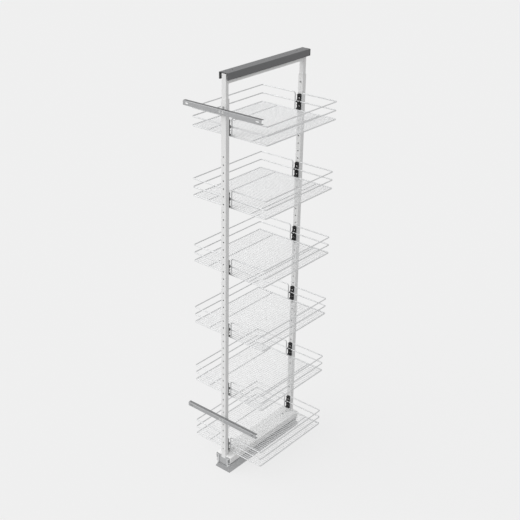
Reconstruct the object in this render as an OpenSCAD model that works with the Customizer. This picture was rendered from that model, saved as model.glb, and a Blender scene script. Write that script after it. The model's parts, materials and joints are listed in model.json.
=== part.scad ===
// Pull-out larder unit for a tall 450 mm cabinet: six wire baskets on a two-post frame
// that runs out on a pair of ball slides and is guided by a channel at the top.
// Millimetres. X is across the cabinet, the door is at -Y, Z is up, and the origin is
// on the cabinet floor, midway along the unit and midway across it.

/* [Cabinet grid] */
// Pitch of the hole rows in the uprights
hole_pitch = 32; // [30:0.5:33]
// Height of the lowest hole in the uprights
first_hole_z = 108; // [104:1:120]
// Diameter of the holes in the uprights
hole_d = 6; // [5.6:0.1:7]
// Number of hole steps from one basket to the next
basket_steps = 9; // [7:1:9]

/* [Frame] */
// Length of the frame from the front face of one upright to the back face of the other
frame_l = 484; // [420:1:484]
// Width of an upright
post_w = 25; // [23:0.5:30]
// Depth of an upright, from front to back
post_d = 20; // [19:0.5:24]
// Wall of an upright
post_wall = 1.5; // [1.2:0.1:2]
// Outer corner radius of an upright
post_r = 2; // [1.6:0.1:2.4]
// Height of the lower end of the uprights
post_z = 60; // [58:1:64]
// Height of an upright above its clamp screw
post_over = 29; // [24:1:40]

/* [Telescopic top] */
// Height of the top tube's underside above the uprights
inner_reveal = 57; // [54:1:80]
// Length of an inner post
inner_l = 300; // [280:4:430]
// Wall of an inner post
inner_wall = 1.5; // [1.2:0.1:2]
// Running gap between an inner post and its upright, on each side
telescope_gap = 0.3; // [0.2:0.05:0.5]
// Height of the tube that joins the inner posts
top_tube_h = 11; // [9:0.5:14]

/* [Runner base] */
// How much longer than the frame the floor plate and the fixed slides are
base_over = 9; // [7:0.5:16]
// Width of the floor plate
base_w = 82; // [80:1:90]
// Sheet of the floor plate
base_t = 2.5; // [2:0.1:3]
// Slope of the floor plate's sides, in degrees
side_slope = 61; // [58:1:63]
// Width across the foot of the pressed bead along the floor plate
bead_w = 24; // [20:1:25]
// Height of the pressed bead
bead_h = 5; // [3:0.5:6]
// Sheet of the slide carriers
carrier_t = 2; // [1.5:0.1:2.5]
// Height of the upper edge of the slide carriers
carrier_top = 68; // [66:0.5:69]
// Spacing of the floor screws across the plate
floor_screw_x = 32; // [31:1:36]
// Distance of the floor screws from the ends of the plate
floor_screw_inset = 22.5; // [16:0.5:40]
// Diameter of the floor screw holes
floor_screw_d = 5.2; // [4:0.1:6]

/* [Ball slides] */
// Height of a slide
slide_h = 35; // [33:0.5:38]
// Thickness of a slide
slide_t = 13; // [12.5:0.1:13.6]
// Height of the middle of the slides above the floor
slide_z = 51.5; // [50:0.5:52.5]
// Sheet of the slide profiles
slide_s = 1.2; // [1:0.1:1.4]
// Diameter of a slide ball
ball_d = 3; // [2.6:0.1:3.2]
// Gap between a ball and its tracks, and between slide profiles
ball_gap = 0.3; // [0.2:0.05:0.4]
// How much shorter than the frame the middle profiles are
middle_short = 14; // [10:1:30]
// Length of a ball cage
cage_l = 232; // [160:1:240]
// Number of balls in one row of a cage
balls_per_row = 8; // [4:1:12]

/* [Runner beam] */
// Outer width of the beam that carries the frame
beam_w = 83; // [82:0.5:90]
// Height of the top of the beam
beam_top = 75; // [74:0.5:80]
// Height of the beam's sides
beam_h = 21; // [19:0.5:24]
// Sheet of the beam
beam_t = 2; // [1.5:0.1:2.5]
// Outer radius of the beam's long edges
beam_r = 3; // [2.6:0.1:5]
// Height of the lower edge of the feet's aprons
apron_z = 26; // [20:1:40]

/* [Baskets] */
// Number of baskets
basket_count = 6; // [4:1:6]
// Width of a basket between the middles of its side wires
basket_w = 372; // [300:1:400]
// Radius of a basket's corners, at the middle of the wire
basket_r = 8; // [5:0.5:14]
// Wire of the rims and rails
rim_wire = 4.8; // [4:0.1:5.4]
// Wire of the basket floor
floor_wire = 2.4; // [2:0.1:3]
// Wire of the two bearers under the basket floor
bearer_wire = 4; // [3.4:0.1:4.6]
// Spacing of the floor wires
floor_pitch = 12; // [10:0.5:20]
// Spacing of the two bearers
bearer_x = 214; // [160:1:260]
// Height of the middle rail above the rim
mid_rail = 36; // [35:0.5:37]
// Height of the top rail above the rim
top_rail = 71; // [68:0.5:90]
// Distance between the middles of the two uprights of a basket end, beside its clip
gate_w = 35; // [32:0.5:44]
// Radius at which a top rail turns down beside the clip
gate_r = 9; // [6:0.5:14]

/* [Basket clips] */
// Width of a clip
clip_w = 20; // [18:0.5:24]
// Radius of a clip's upper corners
clip_r = 8; // [4:0.5:9]
// Thickness of a clip's body
clip_t = 5.8; // [5.6:0.1:6.6]
// Height of a clip's lower edge above the basket rim
clip_low = 3; // [2.8:0.1:4]
// Height of a clip's upper edge above the basket rim
clip_high = 66; // [64:0.5:70]
// Height of the lower stud above the basket rim
stud_low = 18; // [18:0.1:19]
// Diameter of a stud's head
stud_head_d = 9.6; // [8.4:0.1:10]
// Thickness of a stud's head
stud_head_h = 1.6; // [1.2:0.1:1.8]
// Thickness of a clip's back plate
clip_back = 1.7; // [1.4:0.1:1.9]
// How far a basket lifts before its clips come free of the studs
lift_travel = 8; // [7:0.1:8]
// Diameter of the windows over the studs
window_d = 7; // [5:0.1:8]

/* [Door brackets] */
// Length of a door bracket
bracket_l = 382; // [330:1:400]
// Height of a door bracket
bracket_h = 19; // [17:0.5:24]
// Depth of a door bracket, from its web to the upright
bracket_d = 14.5; // [12:0.5:18]
// Sheet of a door bracket
bracket_t = 1.5; // [1.2:0.1:2]
// Outer radius of a door bracket's bends
bracket_r = 2; // [1.6:0.1:3]
// How far a spacer reaches past the upright on each side
spacer_over = 15; // [13:1:40]
// Distance of the upper door bracket below the clamp screw
bracket_below = 16; // [15:1:18]
// Number of hole steps from the lowest hole to the lower door bracket
bracket_steps = 5; // [3:1:8]
// Distance from the end of a bracket to the middle of its door screw slot
slot_edge = 19; // [14:1:30]
// Length of a door screw slot, end to end
slot_l = 16; // [12:0.5:20]
// Width of a door screw slot
slot_w = 6; // [5:0.1:7]
// Spacing of the two screws that hold a bracket to the upright
bracket_screw_x = 16; // [14:1:16.5]
// Diameter of the bracket screws
bracket_screw_d = 5; // [4:0.1:5.4]

/* [Top guide] */
// How far the top guide rail reaches past the rear upright
rail_over = 3; // [2:0.5:12]
// Outer width of the top guide rail
rail_w = 43; // [41:0.5:48]
// Outer height of the top guide rail
rail_h = 26.5; // [25:0.5:30]
// Sheet of the top guide rail
rail_t = 1.8; // [1.5:0.1:2.2]
// Width of the turned-in lips of the rail
rail_lip = 3.4; // [2:0.1:4.5]
// Gap between the tube under the rail and the rail's lips
rail_clear = 5; // [4:0.5:8]
// Thickness of a guide roller
roller_h = 12; // [9:0.5:13]
// Diameter of the roller pins
roller_pin_d = 6; // [5:0.1:7]
// Width of a roller carrier
carrier_w = 20.8; // [16:0.2:24]
// Distance of the rail's screws from the ends of the frame
rail_screw_inset = 50; // [30:1:90]
// Diameter of the rail screw holes
rail_screw_d = 5.4; // [4:0.1:6]

/* [Hidden] */
$fn = 48;
eps = 0.01;                                     // overshoot of a cut
ends = [-1, 1];                                 // front and rear, or left and right

// Colours
zinc = [0.66, 0.67, 0.68];
light_paint = [0.84, 0.84, 0.84];
white_paint = [0.9, 0.9, 0.9];
dark_anodised = [0.37, 0.37, 0.38];
silver_wire = [0.76, 0.77, 0.77];
black_plastic = [0.1, 0.1, 0.1];
steel = [0.78, 0.79, 0.8];
nylon = [0.93, 0.93, 0.9];

// Frame
half_l = frame_l / 2;
post_in = half_l - post_d;                      // distance of an upright's inner face
face_fit = 0.3;                                 // gap between faces that slide past each other
seat_fit = 0.1;                                 // gap where a screw or peg sits in its hole
last_inner_hole = (basket_count - 1) * basket_steps + 1;    // steps to the highest stud
last_outer_hole = last_inner_hole - 4;          // steps to the top hole on the door side
clamp_z = first_hole_z + (last_inner_hole + 2) * hole_pitch;
post_top = clamp_z + post_over;                 // upper end of the uprights
drill = 3 * post_wall;                          // length of a cut through one wall
bore_r = 1;                                     // corner radius inside the uprights
stud_flange_h = 1.2;                            // riveted end of a stud, inside the upright

// Baskets
rim_out = rim_wire / 2;
basket_half_d = post_in - clip_t - face_fit - rim_out;
function level(i) = first_hole_z - stud_low + i * basket_steps * hole_pitch;
floor_rows = floor((basket_half_d - basket_r) / floor_pitch);
floor_up = rim_out - floor_wire / 2;            // floor wires lie flush with the top of the rim
weld = 0.3;                                     // how far crossing wires melt into each other
bearer_down = floor_up - floor_wire / 2 - bearer_wire / 2 + weld;
wire_sides = 8;                                 // sides of a floor wire

// Clips: ridges as height and how far they stand proud of the body
foot_ridge = [7, 6.5];                          // at the foot, over the rim
stud_ridge = [4.5, 3];                          // over the lower stud
top_ridge = [3.5, 2.4];                         // near the upper end
ledge_h = 5;                                    // ledges under and over the middle rail
ledge_out = 3.5;
hook_lip = 2;                                   // thickness of the hooks' lips
window_drop = 1.5;                              // windows sit lower than the studs

// Runner base
base_l = frame_l + base_over;
middle_l = frame_l - middle_short;
floor_screw_y = base_l - 2 * floor_screw_inset;

// Slides: u runs outwards from the carrier, v up and down from the slide's middle
slide_in = beam_w / 2 - beam_t - slide_t;       // distance of the carrier's outer face
track = ball_d + 2 * ball_gap;                  // room for a row of balls
v_fixed = slide_h / 2 - slide_s;                // inner face of the fixed profile's flanges
v_middle = v_fixed - track;                     // outer face of the middle profile's flanges
v_middle_in = v_middle - slide_s;
v_moving = v_middle_in - track;                 // outer face of the moving profile's flanges
web_gap = 1;                                    // between the webs of fixed and middle profile
fixed_gap = 1.1;                                // from the fixed profile's edge to the moving web
middle_gap = 0.5;                               // from the middle profile's edge to the moving web
moving_gap = 1.8;                               // from the moving profile's edge to the middle web
u_fixed_end = slide_t - slide_s - fixed_gap;
u_middle_in = slide_s + web_gap;                // back of the middle profile
u_middle_end = slide_t - slide_s - middle_gap;
u_moving_in = u_middle_in + slide_s + moving_gap;
bend_in = 0.7;                                  // inner radius of the profiles' bends
bend_steps = 3;                                 // flats along a bend
cage_t = 0.8;                                   // strip of a ball cage
cage_edge = 0.8;                                // strip left beside a ball
lip_s = (track - cage_t) / 2 - ball_gap;        // drop of a profile's lip past its flange
moving_l = frame_l;
outer_ball_u = (u_middle_in + u_fixed_end - slide_s) / 2;
inner_ball_u = (u_moving_in + u_middle_end - slide_s) / 2;

// Sides of the floor plate
side_in = base_w / 2 - base_t / tan(side_slope / 2);        // where a side starts, on the plate
neck_z = slide_z - slide_h / 2 - face_fit;      // the flanges end under the slides

// Runner beam and feet
beam_in = beam_top - beam_t;                    // underside of the beam's top
foot_t = 3.5;                                   // sole and riser of a foot
foot_gap = 0.5;                                 // gap between a foot and the carriers
foot_w = 2 * (slide_in - carrier_t - foot_gap);
foot_reach = 62;                                // length of a foot's flange under the beam
foot_plug_h = 38;                               // height of the plug inside the upright
foot_screw_d = 6;
foot_screw_y = [16, 46];                        // distances of the foot screws from the upright
screw_tip = 2;                                  // length of a foot screw below the foot
head_h = 3;                                     // height of a pan head
head_d = 11;                                    // diameter of a pan head
clamp_head_d = 8;                               // diameter of a clamp screw's head
clamp_head_h = 2;                               // height of a clamp screw's head
head_shape = [0.6, 0.7];                        // share of a pan head that is straight, and its crown

// Door brackets
web_y = -half_l - bracket_d;                    // door face of a bracket
upper_bracket_z = clamp_z - bracket_below;
lower_bracket_z = first_hole_z + bracket_steps * hole_pitch;
flat_head_d = 2 * bracket_screw_d - 1;
spacer_w = post_w + 2 * spacer_over;

// Telescopic top and guide
tube_z = post_top + inner_reveal;               // underside of the top tube
bore_w = post_w - 2 * post_wall - 2 * telescope_gap;        // what slides in an upright
bore_d = post_d - 2 * post_wall - 2 * telescope_gap;
inner_d = bore_d - stud_flange_h;               // an inner post clears the studs' rivets
inner_r = 1.5;                                  // outer corner radius of inner posts and tube
inner_out = half_l - post_wall - telescope_gap; // distance of an inner post's outer face
inner_in = inner_out - inner_d;                 // distance of its basket-side face
rail_z = tube_z + top_tube_h + rail_clear;      // lower edge of the guide rail
rail_top = rail_z + rail_h;
rail_room = 3;                                  // gap between an inner post and the rail's top
inner_top = rail_top - rail_t - rail_room;      // upper end of the inner posts
rail_front = -half_l;
rail_rear = half_l + rail_over;
rail_screw_y = frame_l - 2 * rail_screw_inset;
roller_d = rail_w - 2 * rail_t - 2 * face_fit;
plate_t = 2;                                    // sheet of a roller carrier
roller_y = inner_in - plate_t - 2 * face_fit - roller_d / 2;
roller_up = 3.6;                                // height of the rollers over the rail's lips
roller_z = rail_z + rail_t + roller_up;         // underside of a roller
carrier_foot = 44;                              // length of a roller carrier
pin_fit = 0.05;                                 // running clearance of a roller on its pin
pin_collar_out = 2.5;                           // step from a pin to its collar
pin_head_out = 2;                               // step from a pin to its head
pin_head_h = 1.5;
end_cap_t = 6;                                  // length of the rail end outside the rail
rail_bend = 0.6;                                // inner radius of the rail's long edges
rail_r = rail_t + rail_bend;

// ---- shapes -----------------------------------------------------------------------

module along_x(len, d, n = $fn) { rotate([0, 90, 0]) cylinder(h = len, d = d, center = true, $fn = n); }

module along_y(len, d, n = $fn) { rotate([90, 0, 0]) cylinder(h = len, d = d, center = true, $fn = n); }

// A profile drawn in X and Z, drawn out along Y
module bar_y(len) { rotate([90, 0, 0]) linear_extrude(height = len, center = true) children(); }

// A profile drawn in Y and Z, drawn out along X
module bar_x(len) {
    rotate([90, 0, 90]) linear_extrude(height = len, center = true) children();
}

// Points of the right half of an outline, followed by those of its mirror image
function mirrored(half) = concat(half, [for (i = [len(half) - 1 : -1 : 0]) [-half[i][0], half[i][1]]]);

// Points of the upper half of an outline, followed by those of the lower half
function flipped(half) = concat(half, [for (i = [len(half) - 1 : -1 : 0]) [half[i][0], -half[i][1]]]);

// Points of a quarter bend about c, from angle a to angle b
function corner(c, r, a, b) = [for (k = [0 : bend_steps]) let (t = a + (b - a) * k / bend_steps)
    c + r * [cos(t), sin(t)]];

module both_ends() { children(); mirror([0, 1, 0]) children(); }

module both_sides() { children(); mirror([1, 0, 0]) children(); }

// Rectangle with round corners, centred
module rounded(w, h, r) {
    square([w - 2 * r, h], center = true);
    square([w, h - 2 * r], center = true);
    for (x = ends, y = ends) translate([x * (w / 2 - r), y * (h / 2 - r)]) circle(r = r);
}

// Outline with a flat lower edge at z = 0 and round upper corners
module round_topped(w, h, r) {
    translate([-w / 2, 0]) square([w, h - r]);
    translate([-w / 2 + r, 0]) square([w - 2 * r, h]);
    for (x = ends) translate([x * (w / 2 - r), h - r]) circle(r = r);
}

// Channel open downwards, drawn in X and Z from z = 0 up
module hat(w, h, r, t) {
    difference() {
        round_topped(w, h, r);
        translate([0, -eps]) round_topped(w - 2 * t, h - t + eps, r - t + eps);
    }
}

// Quarter bend of wire from angle a, on a radius r in the XY plane
module bend(r, d, a) { rotate([0, 0, a]) rotate_extrude(angle = 90) translate([r, 0]) circle(d = d); }

// Closed ring of wire with four bends
module wire_ring(w, l, r, d) {
    for (s = ends) {
        translate([0, s * l / 2, 0]) along_x(w - 2 * r, d);
        translate([s * w / 2, 0, 0]) along_y(l - 2 * r, d);
    }
    both_sides() both_ends() translate([w / 2 - r, l / 2 - r, 0]) bend(r, d, 0);
}

// Row of holes along Y through a wall at y, from step a to step b
module hole_row(y, a, b) {
    for (i = [a : b])
        translate([0, y, first_hole_z + i * hole_pitch]) along_y(drill, hole_d);
}

// ---- runner base ------------------------------------------------------------------

// Pressed plate that screws to the cabinet floor; its sides lean in to the carriers and end in
// a flange against them
module floor_plate() {
    foot = bead_w / 2;                          // the bead's sides slope at 45 degrees
    crest = foot - bead_h;
    drift = base_t * tan(22.5);                 // keeps the sheet as thick on the slope
    neck = slide_in + base_t;
    color(zinc) difference() {
        bar_y(base_l) polygon(mirrored([[crest - drift, bead_h], [foot - drift, 0], [base_w / 2, 0],
            [neck, (base_w / 2 - neck) * tan(side_slope)], [neck, neck_z], [slide_in, neck_z],
            [slide_in, base_t + (side_in - slide_in) * tan(side_slope)], [side_in, base_t],
            [foot, base_t], [crest, bead_h + base_t]]));
        for (x = ends, y = ends)
            translate([x * floor_screw_x / 2, y * floor_screw_y / 2, -eps])
                cylinder(h = bead_h + base_t + 1, d = floor_screw_d);
    }
}

// Angle that stands on the floor plate and carries one fixed slide
module slide_carrier() {
    toe = side_in - carrier_t / tan(side_slope) - 1;        // clears the sloping side
    color(zinc) bar_y(base_l) polygon([[slide_in - carrier_t, base_t], [toe, base_t],
        [toe, base_t + carrier_t], [slide_in, base_t + carrier_t], [slide_in, carrier_top],
        [slide_in - carrier_t, carrier_top]]);
}

// ---- ball slides, drawn for the right side -----------------------------------------

module slide_place() { translate([slide_in, 0, slide_z]) children(); }

// C profile: web from u to u + s, flanges out to u_end, lips turned in at their edge
module slide_profile(u, u_end, v_out, lip) {
    s = slide_s;
    r = bend_in + s;
    upper = concat(
        corner([u + r, v_out - r], bend_in, 180, 90), corner([u_end - r, v_out - r], bend_in, 90, 0),
        [[u_end - s, v_out - s - lip], [u_end, v_out - s - lip]],
        corner([u_end - r, v_out - r], r, 0, 90), corner([u + r, v_out - r], r, 90, 180));
    polygon(flipped(upper));
}

module fixed_slide() {
    color(zinc) slide_place() bar_y(base_l) slide_profile(0, u_fixed_end, slide_h / 2, lip_s);
}

module middle_slide() {
    color(steel) slide_place() bar_y(middle_l)
        slide_profile(u_middle_in, u_middle_end, v_middle, lip_s);
}

// The moving profile opens inwards, with its web against the beam
module moving_slide() {
    r = bend_in + slide_s;
    upper = concat(corner([slide_t - r, v_moving - r], bend_in, 0, 90),
        [[u_moving_in, v_moving - slide_s], [u_moving_in, v_moving]],
        corner([slide_t - r, v_moving - r], r, 90, 0));
    color(zinc) slide_place() bar_y(moving_l) polygon(flipped(upper));
}

// One row of balls and the strip that spaces them, at height v and depth u
module ball_row(u, v, part) {
    pitch = cage_l / balls_per_row;
    strip_w = ball_d + 2 * cage_edge;
    translate([u, 0, v]) {
        if (part == "cage") difference() {
            cube([strip_w, cage_l, cage_t], center = true);
            for (i = [0 : balls_per_row - 1])
                translate([0, (i + 0.5) * pitch - cage_l / 2, 0])
                    cylinder(h = 2 * cage_t, d = ball_d + ball_gap, center = true);
        }
        if (part == "balls")
            for (i = [0 : balls_per_row - 1])
                translate([0, (i + 0.5) * pitch - cage_l / 2, 0]) sphere(d = ball_d);
    }
}

module ball_rows(u, v, part) {
    both_sides() slide_place() for (s = ends) ball_row(u, s * v, part);
}

module outer_rows(part) { ball_rows(outer_ball_u, v_fixed - track / 2, part); }

module inner_rows(part) { ball_rows(inner_ball_u, v_middle_in - track / 2, part); }

// Rubber buffers in the rear of the fixed slides, where the moving slides stop
module slide_buffers() {
    gap_l = (base_l - moving_l) / 2 - face_fit;
    color(black_plastic) both_sides() slide_place()
        translate([slide_s, base_l / 2 - gap_l, -v_moving])
            cube([u_fixed_end - slide_s, gap_l, 2 * v_moving]);
}

// ---- moving frame -----------------------------------------------------------------

// Cover beam over the slides, notched at both ends for the uprights
module beam() {
    color(white_paint) difference() {
        translate([0, 0, beam_top - beam_h]) bar_y(frame_l) hat(beam_w, beam_h, beam_r, beam_t);
        both_ends() {
            translate([0, post_in - face_fit, beam_in - eps])
                upright_notch(post_d + 1, beam_t + 1);
            for (y = foot_screw_y)
                translate([0, post_in - y, beam_in - eps])
                    cylinder(h = beam_t + 1, d = foot_screw_d + 2 * seat_fit);
        }
    }
}

// Foot that joins an upright to the beam: sole, riser, flange, an apron that closes the end
// between the slides, and a plug in the tube
module foot() {
    riser_y = post_in - face_fit - foot_t;
    apron_y = half_l - foot_t;
    sole_z = post_z - foot_t;
    color(zinc) union() {
        difference() {
            bar_x(foot_w) polygon([[half_l, apron_z], [half_l, beam_in], [apron_y, beam_in],
                [apron_y, post_z], [riser_y + foot_t, post_z], [riser_y + foot_t, beam_in],
                [post_in - foot_reach, beam_in], [post_in - foot_reach, beam_in - foot_t],
                [riser_y, beam_in - foot_t], [riser_y, sole_z], [apron_y, sole_z],
                [apron_y, apron_z]]);
            translate([0, apron_y - eps, post_z]) upright_notch(foot_t + 1, beam_in - post_z + 1);
            for (y = foot_screw_y)
                translate([0, post_in - y, beam_in - foot_t - eps])
                    cylinder(h = foot_t + 1, d = foot_screw_d);
        }
        translate([0, half_l - post_d / 2, post_z - eps])
            linear_extrude(height = foot_plug_h) rounded(bore_w, bore_d, bore_r);
    }
}

// Room for an upright, open towards the end of the frame
module upright_notch(l, h) {
    translate([-post_w / 2 - face_fit, 0, 0]) cube([post_w + 2 * face_fit, l, h]);
}

// Pan-head screws that hold the feet under the beam
module foot_screws() {
    color(steel) both_ends() for (y = foot_screw_y) translate([0, post_in - y, 0]) {
        translate([0, 0, beam_top]) pan_head(head_d, head_h);
        translate([0, 0, beam_in - foot_t - screw_tip])
            cylinder(h = beam_t + foot_t + screw_tip + eps, d = foot_screw_d - 2 * seat_fit);
    }
}

// Low crowned screw head that stands on z = 0
module pan_head(d, h) {
    straight = h * head_shape[0];
    cylinder(h = straight, d = d);
    translate([0, 0, straight - eps]) cylinder(h = h - straight, d1 = d, d2 = d * head_shape[1]);
}

// Upright at the rear end; the front one is its mirror image
module upright(door_side) {
    color(light_paint) difference() {
        translate([0, half_l - post_d / 2, post_z]) linear_extrude(height = post_top - post_z)
            difference() {
                rounded(post_w, post_d, post_r);
                rounded(post_w - 2 * post_wall, post_d - 2 * post_wall, bore_r);
            }
        hole_row(post_in, 0, last_inner_hole);
        hole_row(half_l, 0, last_outer_hole);
        translate([0, door_side ? half_l : post_in, clamp_z]) along_y(drill, hole_d);
        if (door_side)
            for (z = [lower_bracket_z, upper_bracket_z], x = ends)
                translate([x * bracket_screw_x / 2, half_l, z]) along_y(drill, bracket_screw_d);
    }
}

// Screw with its head on z = 0 and its tip at z = -l
module clamp_screw(l) {
    pan_head(clamp_head_d, clamp_head_h);
    translate([0, 0, -l]) cylinder(h = l + eps, d = hole_d - 2 * seat_fit);
}

// Screws that clamp the inner posts at their height: the front one goes in from the door side,
// the rear one from the basket side
module clamp_screws() {
    front_l = post_wall + telescope_gap - seat_fit;
    rear_l = front_l + stud_flange_h;
    color(steel) {
        translate([0, -half_l, clamp_z]) rotate([90, 0, 0]) clamp_screw(front_l);
        translate([0, post_in, clamp_z]) rotate([90, 0, 0]) clamp_screw(rear_l);
    }
}

// Shouldered studs riveted in the uprights; the clips' keyholes hang on them
module stud() {
    shank = clip_back + 2 * face_fit;
    rotate([90, 0, 0]) {
        translate([0, 0, -post_wall - stud_flange_h]) cylinder(h = stud_flange_h, d = hole_d + 2);
        translate([0, 0, -post_wall - eps])
            cylinder(h = post_wall + shank + 2 * eps, d = hole_d - 2 * seat_fit);
        translate([0, 0, shank]) cylinder(h = stud_head_h, d = stud_head_d);
    }
}

module basket_studs() {
    color(steel) both_ends() for (i = [0 : basket_count - 1], k = [0, 1])
        translate([0, post_in, level(i) + stud_low + k * hole_pitch]) stud();
}

// ---- door brackets, at the front upright --------------------------------------------

// Channel with its web to the door, slotted for the door screws
module door_bracket(z) {
    slot_x = bracket_l / 2 - slot_edge;
    color(zinc) translate([0, 0, z]) difference() {
        bar_x(bracket_l) difference() {
            translate([-half_l, 0]) rotate(90) round_topped(bracket_h, bracket_d, bracket_r);
            translate([web_y + bracket_t, -bracket_h / 2 + bracket_t])
                square([bracket_d, bracket_h - 2 * bracket_t]);
        }
        for (x = ends) translate([x * slot_x, web_y - 1, 0]) rotate([-90, 0, 0])
            linear_extrude(height = bracket_t + 2) {
                square([slot_l - slot_w, slot_w], center = true);
                for (e = ends) translate([e * (slot_l - slot_w) / 2, 0]) circle(d = slot_w);
            }
        for (x = ends) translate([x * bracket_screw_x / 2, web_y + bracket_t / 2, 0])
            along_y(bracket_t + 1, flat_head_d + 2 * seat_fit);
    }
}

// Die-cast spacer inside the bracket, between its web and the upright
module bracket_spacer(z) {
    depth = bracket_d - bracket_t;
    color(zinc) translate([0, -half_l - depth / 2, z]) difference() {
        cube([spacer_w, depth, bracket_h - 2 * bracket_t - 2 * seat_fit], center = true);
        for (x = ends) translate([x * bracket_screw_x / 2, 0, 0])
            along_y(depth + 1, bracket_screw_d + 2 * seat_fit);
    }
}

// Flat-headed screws through web and spacer into the upright
module bracket_screws() {
    color(steel) for (z = [lower_bracket_z, upper_bracket_z], x = ends)
        translate([x * bracket_screw_x / 2, web_y, z]) rotate([-90, 0, 0]) {
            cylinder(h = bracket_t, d = flat_head_d);
            cylinder(h = bracket_d + post_wall, d = bracket_screw_d - 2 * seat_fit);
        }
}

// ---- telescopic top -----------------------------------------------------------------

// Tube that slides in the upright and reaches up into the guide rail
module inner_post() {
    color(light_paint) translate([0, inner_out - inner_d / 2, inner_top - inner_l])
        linear_extrude(height = inner_l) inner_section(inner_d);
}

// Section of an inner post or of the top tube, of depth or height h
module inner_section(h) {
    difference() {
        rounded(bore_w, h, inner_r);
        square([bore_w - 2 * inner_wall, h - 2 * inner_wall], center = true);
    }
}

// Tube welded in between the inner posts
module top_tube() {
    color(light_paint) difference() {
        translate([0, 0, tube_z + top_tube_h / 2]) bar_y(2 * inner_in) inner_section(top_tube_h);
        for (y = ends) translate([0, y * roller_y, tube_z - 1])
            cylinder(h = top_tube_h + 2, d = roller_pin_d + 2 * seat_fit);
    }
}

// Bent plate on the tube, with its leg against the inner post; it carries a roller pin
module roller_carrier() {
    z = tube_z + top_tube_h;
    leg = inner_in - plate_t;
    toe = inner_in - carrier_foot;
    color(light_paint) difference() {
        bar_x(carrier_w) polygon([[inner_in, z], [inner_in, inner_top], [leg, inner_top],
            [leg, z + plate_t], [toe, z + plate_t], [toe, z]]);
        translate([0, roller_y, z - 1]) cylinder(h = plate_t + 2, d = roller_pin_d + 2 * seat_fit);
    }
}

// Shouldered pins, riveted under the tube
module roller_pins() {
    z = tube_z + top_tube_h + plate_t;
    color(steel) for (y = ends) translate([0, y * roller_y, 0]) {
        translate([0, 0, tube_z]) cylinder(h = z - tube_z + eps, d = roller_pin_d);
        translate([0, 0, z]) cylinder(h = roller_z - face_fit - z, d = roller_pin_d + 2 * pin_collar_out);
        translate([0, 0, z]) cylinder(h = roller_z + roller_h + face_fit - z + eps, d = roller_pin_d);
        translate([0, 0, roller_z + roller_h + face_fit])
            cylinder(h = pin_head_h, d = roller_pin_d + 2 * pin_head_out);
    }
}

// Nylon roller, dished between its rim and its hub
module roller(y) {
    r = roller_d / 2;
    bore = roller_pin_d / 2 + pin_fit;
    band = 4;                                   // width of the rim and of the hub
    rim = r - band;
    hub = bore + band;
    dish = 2;
    edge = 1;
    color(nylon) translate([0, y, roller_z]) rotate_extrude()
        polygon([[bore, 0], [r - edge, 0], [r, edge], [r, roller_h - edge], [r - edge, roller_h],
            [rim, roller_h], [rim - dish, roller_h - dish], [hub + dish, roller_h - dish],
            [hub, roller_h], [bore, roller_h]]);
}

// Channel that screws to the cabinet top, with turned-in lips
module guide_rail() {
    color(dark_anodised) difference() {
        translate([0, (rail_front + rail_rear) / 2, rail_z]) bar_y(rail_rear - rail_front) union() {
            hat(rail_w, rail_h, rail_r, rail_t);
            for (x = ends) translate([x * (rail_w / 2 - rail_t - rail_lip / 2), rail_t / 2])
                square([rail_lip + 2 * eps, rail_t], center = true);
        }
        for (y = ends) translate([0, y * rail_screw_y / 2, rail_top - rail_t - 1])
            cylinder(h = rail_t + 2, d = rail_screw_d);
    }
}

// Moulded end piece in the rear of the guide rail
module guide_rail_end() {
    plug_w = rail_w - 2 * rail_t - 2 * seat_fit;
    plug_h = rail_h - 2 * rail_t - 2 * seat_fit;
    plug_l = rail_rear - inner_out - 1;         // ends short of the closed frame's rear post
    color(black_plastic) {
        translate([0, rail_rear + end_cap_t / 2, rail_z])
            bar_y(end_cap_t) round_topped(rail_w, rail_h, rail_r);
        translate([0, rail_rear - plug_l / 2, rail_z + rail_t + seat_fit])
            bar_y(plug_l + eps) round_topped(plug_w, plug_h, rail_bend + seat_fit);
    }
}

// ---- baskets ------------------------------------------------------------------------

// Rim, floor wires and bearers, welded into one grille
module basket_floor(i) {
    color(silver_wire) translate([0, 0, level(i)]) union() {
        wire_ring(basket_w, 2 * basket_half_d, basket_r, rim_wire);
        for (k = [-floor_rows : floor_rows])
            translate([0, k * floor_pitch, floor_up]) along_x(basket_w, floor_wire, wire_sides);
        for (x = ends)
            translate([x * bearer_x / 2, 0, bearer_down]) along_y(2 * basket_half_d, bearer_wire);
    }
}

// Half of the top rail, turned down at both ends to stand on the rim beside the clips
module top_half_rail() {
    run_x = basket_w / 2 - basket_r;
    turn_x = gate_w / 2 + gate_r;
    translate([basket_w / 2, 0, top_rail]) along_y(2 * (basket_half_d - basket_r), rim_wire);
    both_ends() {
        translate([run_x, basket_half_d - basket_r, top_rail]) bend(basket_r, rim_wire, 0);
        translate([(run_x + turn_x) / 2, basket_half_d, top_rail]) along_x(run_x - turn_x, rim_wire);
        translate([turn_x, basket_half_d, top_rail - gate_r]) rotate([90, 0, 0]) bend(gate_r, rim_wire, 90);
        translate([gate_w / 2, basket_half_d, 0]) cylinder(h = top_rail - gate_r, d = rim_wire);
    }
}

// Middle ring and the two halves of the top rail
module basket_rails(i) {
    color(silver_wire) translate([0, 0, level(i)]) {
        translate([0, 0, mid_rail]) wire_ring(basket_w, 2 * basket_half_d, basket_r, rim_wire);
        both_sides() top_half_rail();
    }
}

// Clip seen from the basket: n runs from the upright's face towards the basket
module clip_body() {
    translate([0, clip_low]) round_topped(clip_w, clip_high - clip_low, clip_r);
}

// Ridge across a clip from z = a up by h, proud of its face by p, with a slope on its upper side
module ridge(a, h, p) {
    n = clip_t + p;
    bar_x(clip_w) polygon([[clip_t - 1, a], [n, a], [n, a + h / 3], [clip_t, a + h],
        [clip_t - 1, a + h]]);
}

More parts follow.
